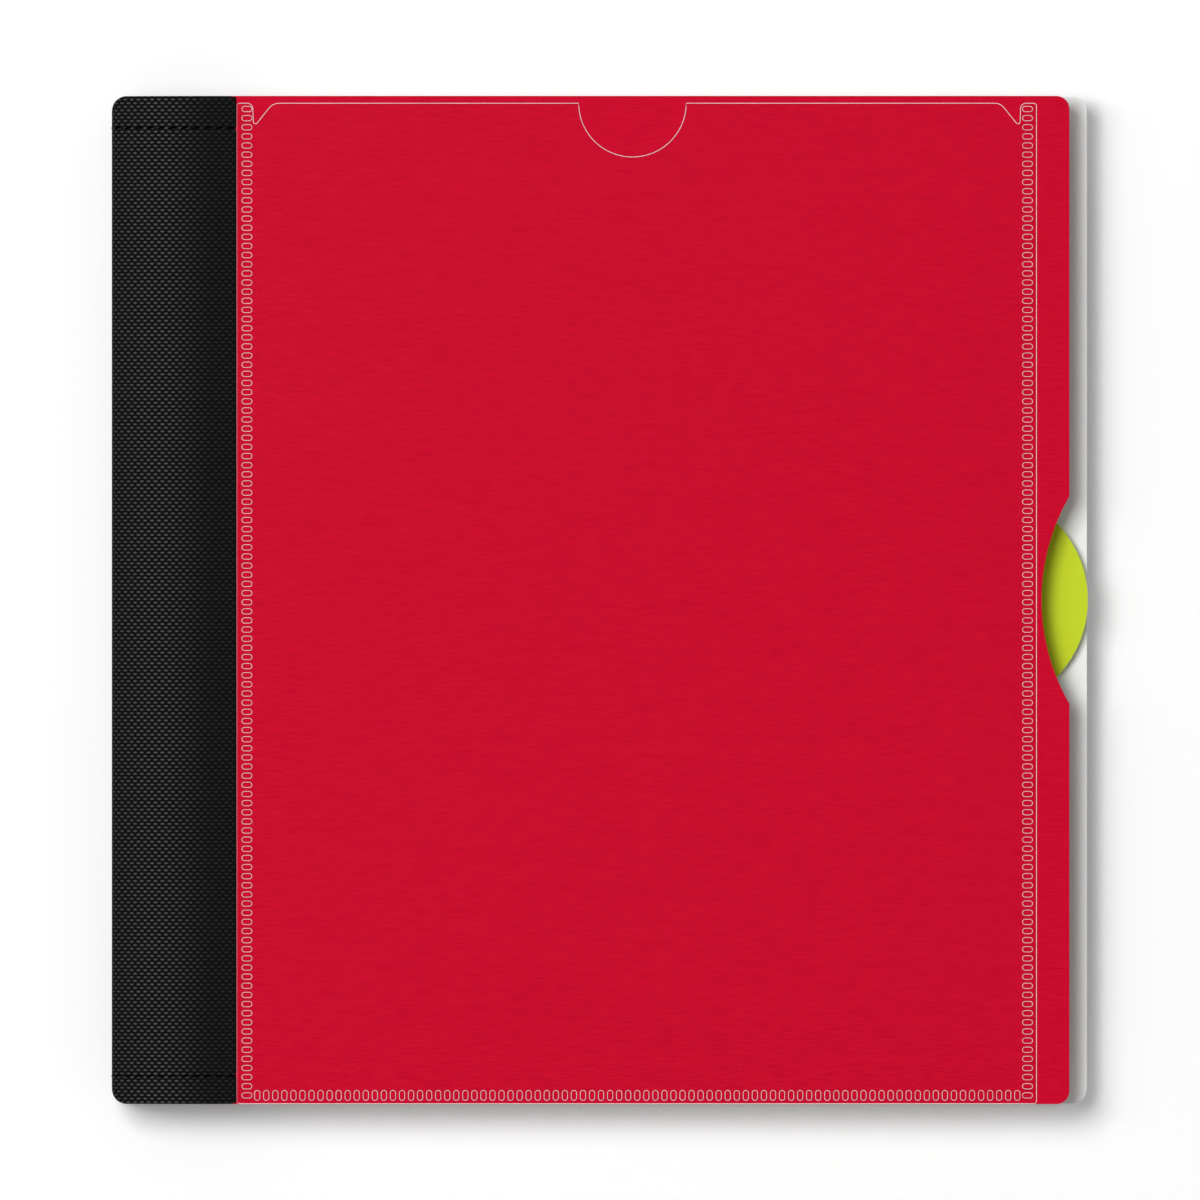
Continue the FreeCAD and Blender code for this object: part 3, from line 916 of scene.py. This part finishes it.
class ALBUM_OT_stage(bpy.types.Operator):
    """Set the white floor, the soft light and the camera straight above the album"""
    bl_idname = "album.stage"
    bl_label = "Stage"

    floor_reach, floor_z = 30.0, -0.0002
    lamp_height = 3.0
    photo_pixels, mm_per_pixel = 1200, 0.283
    sensor, lens = 36.0, 1200.0

    def seen_rays(self, tree, *kinds):
        """1 for the given kinds of ray, 0 for the rest"""
        path = add(tree, "ShaderNodeLightPath")
        seen = path.outputs[kinds[0]]
        for kind in kinds[1:]:
            seen = maths(tree, "MAXIMUM", seen, path.outputs[kind])
        return seen

    def floor(self, context):
        mesh = bpy.data.meshes.new("floor")
        corners = ((-1, -1), (1, -1), (1, 1), (-1, 1))
        points = [(x * self.floor_reach, y * self.floor_reach, self.floor_z) for x, y in corners]
        mesh.from_pydata(points, [], [(0, 1, 2, 3)])
        plane = bpy.data.objects.new("floor", mesh)
        context.scene.collection.objects.link(plane)
        plane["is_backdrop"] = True
        base = (*context.scene.album_colours.floor, 1.0)
        finish = Finish(
            "studio floor", Base_Color=base, Roughness=1.0, Specular_IOR_Level=0.0,
            Emission_Color=(1, 1, 1, 1))
        tree = finish.tree
        seen = self.seen_rays(tree, "Is Camera Ray", "Is Glossy Ray")
        radius = add(tree, "ShaderNodeVectorMath", operation="LENGTH")
        join(tree, finish.coords.outputs["Object"], radius.inputs[0])
        far = ramp(
            tree, radius.outputs["Value"], start=0.5, end=4.0, low=0.08, high=0.9, kind="SMOOTHSTEP")
        finish.feed("Emission Strength", maths(tree, "MULTIPLY", seen, far))
        mesh.materials.append(finish.material)

    def world(self, context):
        world = bpy.data.worlds.new("studio")
        context.scene.world = world
        world.use_nodes = True
        tree = world.node_tree
        back = tree.nodes["Background"]
        back.inputs["Color"].default_value = (1, 1, 1, 1)
        seen = self.seen_rays(tree, "Is Camera Ray", "Is Glossy Ray", "Is Transmission Ray")
        join(tree, spread(tree, seen, 0.3, 1.0), back.inputs["Strength"])

    def lamp(self, context, name, tilt, size, power):
        """Area lamp that faces the album, tilted from straight above by degrees in x and y"""
        data = bpy.data.lights.new(name, "AREA")
        data.shape = "RECTANGLE"
        data.size, data.size_y = size
        data.energy = power
        lamp = bpy.data.objects.new(name, data)
        context.scene.collection.objects.link(lamp)
        across, along = (self.lamp_height * math.tan(math.radians(angle)) for angle in tilt)
        lamp.location = (across, along, self.lamp_height)
        lamp.rotation_mode = "QUATERNION"
        lamp.rotation_quaternion = lamp.location.to_track_quat("Z", "Y")
        lamp.visible_camera = False

    def camera(self, context):
        data = bpy.data.cameras.new("camera")
        data.sensor_width = self.sensor
        data.lens = self.lens
        camera = bpy.data.objects.new("camera", data)
        context.scene.collection.objects.link(camera)
        frame_width = self.photo_pixels * self.mm_per_pixel * MM
        camera.location = (0.0, 0.0, frame_width * self.lens / self.sensor + CAD_HIGH[2])
        data.clip_start = 0.1
        data.clip_end = 40.0
        context.scene.camera = camera

    def execute(self, context):
        self.floor(context)
        self.world(context)
        self.lamp(context, "key", tilt=(-13.7, 8.6), size=(1.15, 1.15), power=68.3)
        self.lamp(context, "side", tilt=(-31.0, 8.0), size=(0.47, 1.1), power=7.2)
        self.camera(context)
        context.scene.view_settings.view_transform = "Standard"
        return {"FINISHED"}


OPERATORS = (
    ALBUM_OT_covers,
    ALBUM_OT_spine_cloth,
    ALBUM_OT_hinges,
    ALBUM_OT_cover_pocket,
    ALBUM_OT_ring_metal,
    ALBUM_OT_leaves,
    ALBUM_OT_divider,
    ALBUM_OT_pocket_sheet,
    ALBUM_OT_stage,
)


class ALBUM_PT_pieces(bpy.types.Panel):
    """Lists the pieces of the album"""
    bl_idname = "ALBUM_PT_pieces"
    bl_label = "Album"
    bl_space_type = "VIEW_3D"
    bl_region_type = "UI"
    bl_category = "Album"

    def draw(self, context):
        column = self.layout.column()
        for operator in OPERATORS:
            column.operator(operator.bl_idname)
        for group in (context.scene.album_sizes, context.scene.album_colours):
            for name in group.bl_rna.properties.keys():
                if name not in ("rna_type", "name"):
                    column.prop(group, name)


CLASSES = (AlbumSizes, AlbumColours, *OPERATORS, ALBUM_PT_pieces)


def register():
    for cls in CLASSES:
        bpy.utils.register_class(cls)
    bpy.types.Scene.album_sizes = PointerProperty(type=AlbumSizes)
    bpy.types.Scene.album_colours = PointerProperty(type=AlbumColours)


def unregister():
    del bpy.types.Scene.album_sizes
    del bpy.types.Scene.album_colours
    for cls in reversed(CLASSES):
        bpy.utils.unregister_class(cls)


def main():
    register()
    for operator in OPERATORS:
        group, name = operator.bl_idname.split(".")
        getattr(getattr(bpy.ops, group), name)()


if __name__ == "__main__":
    main()
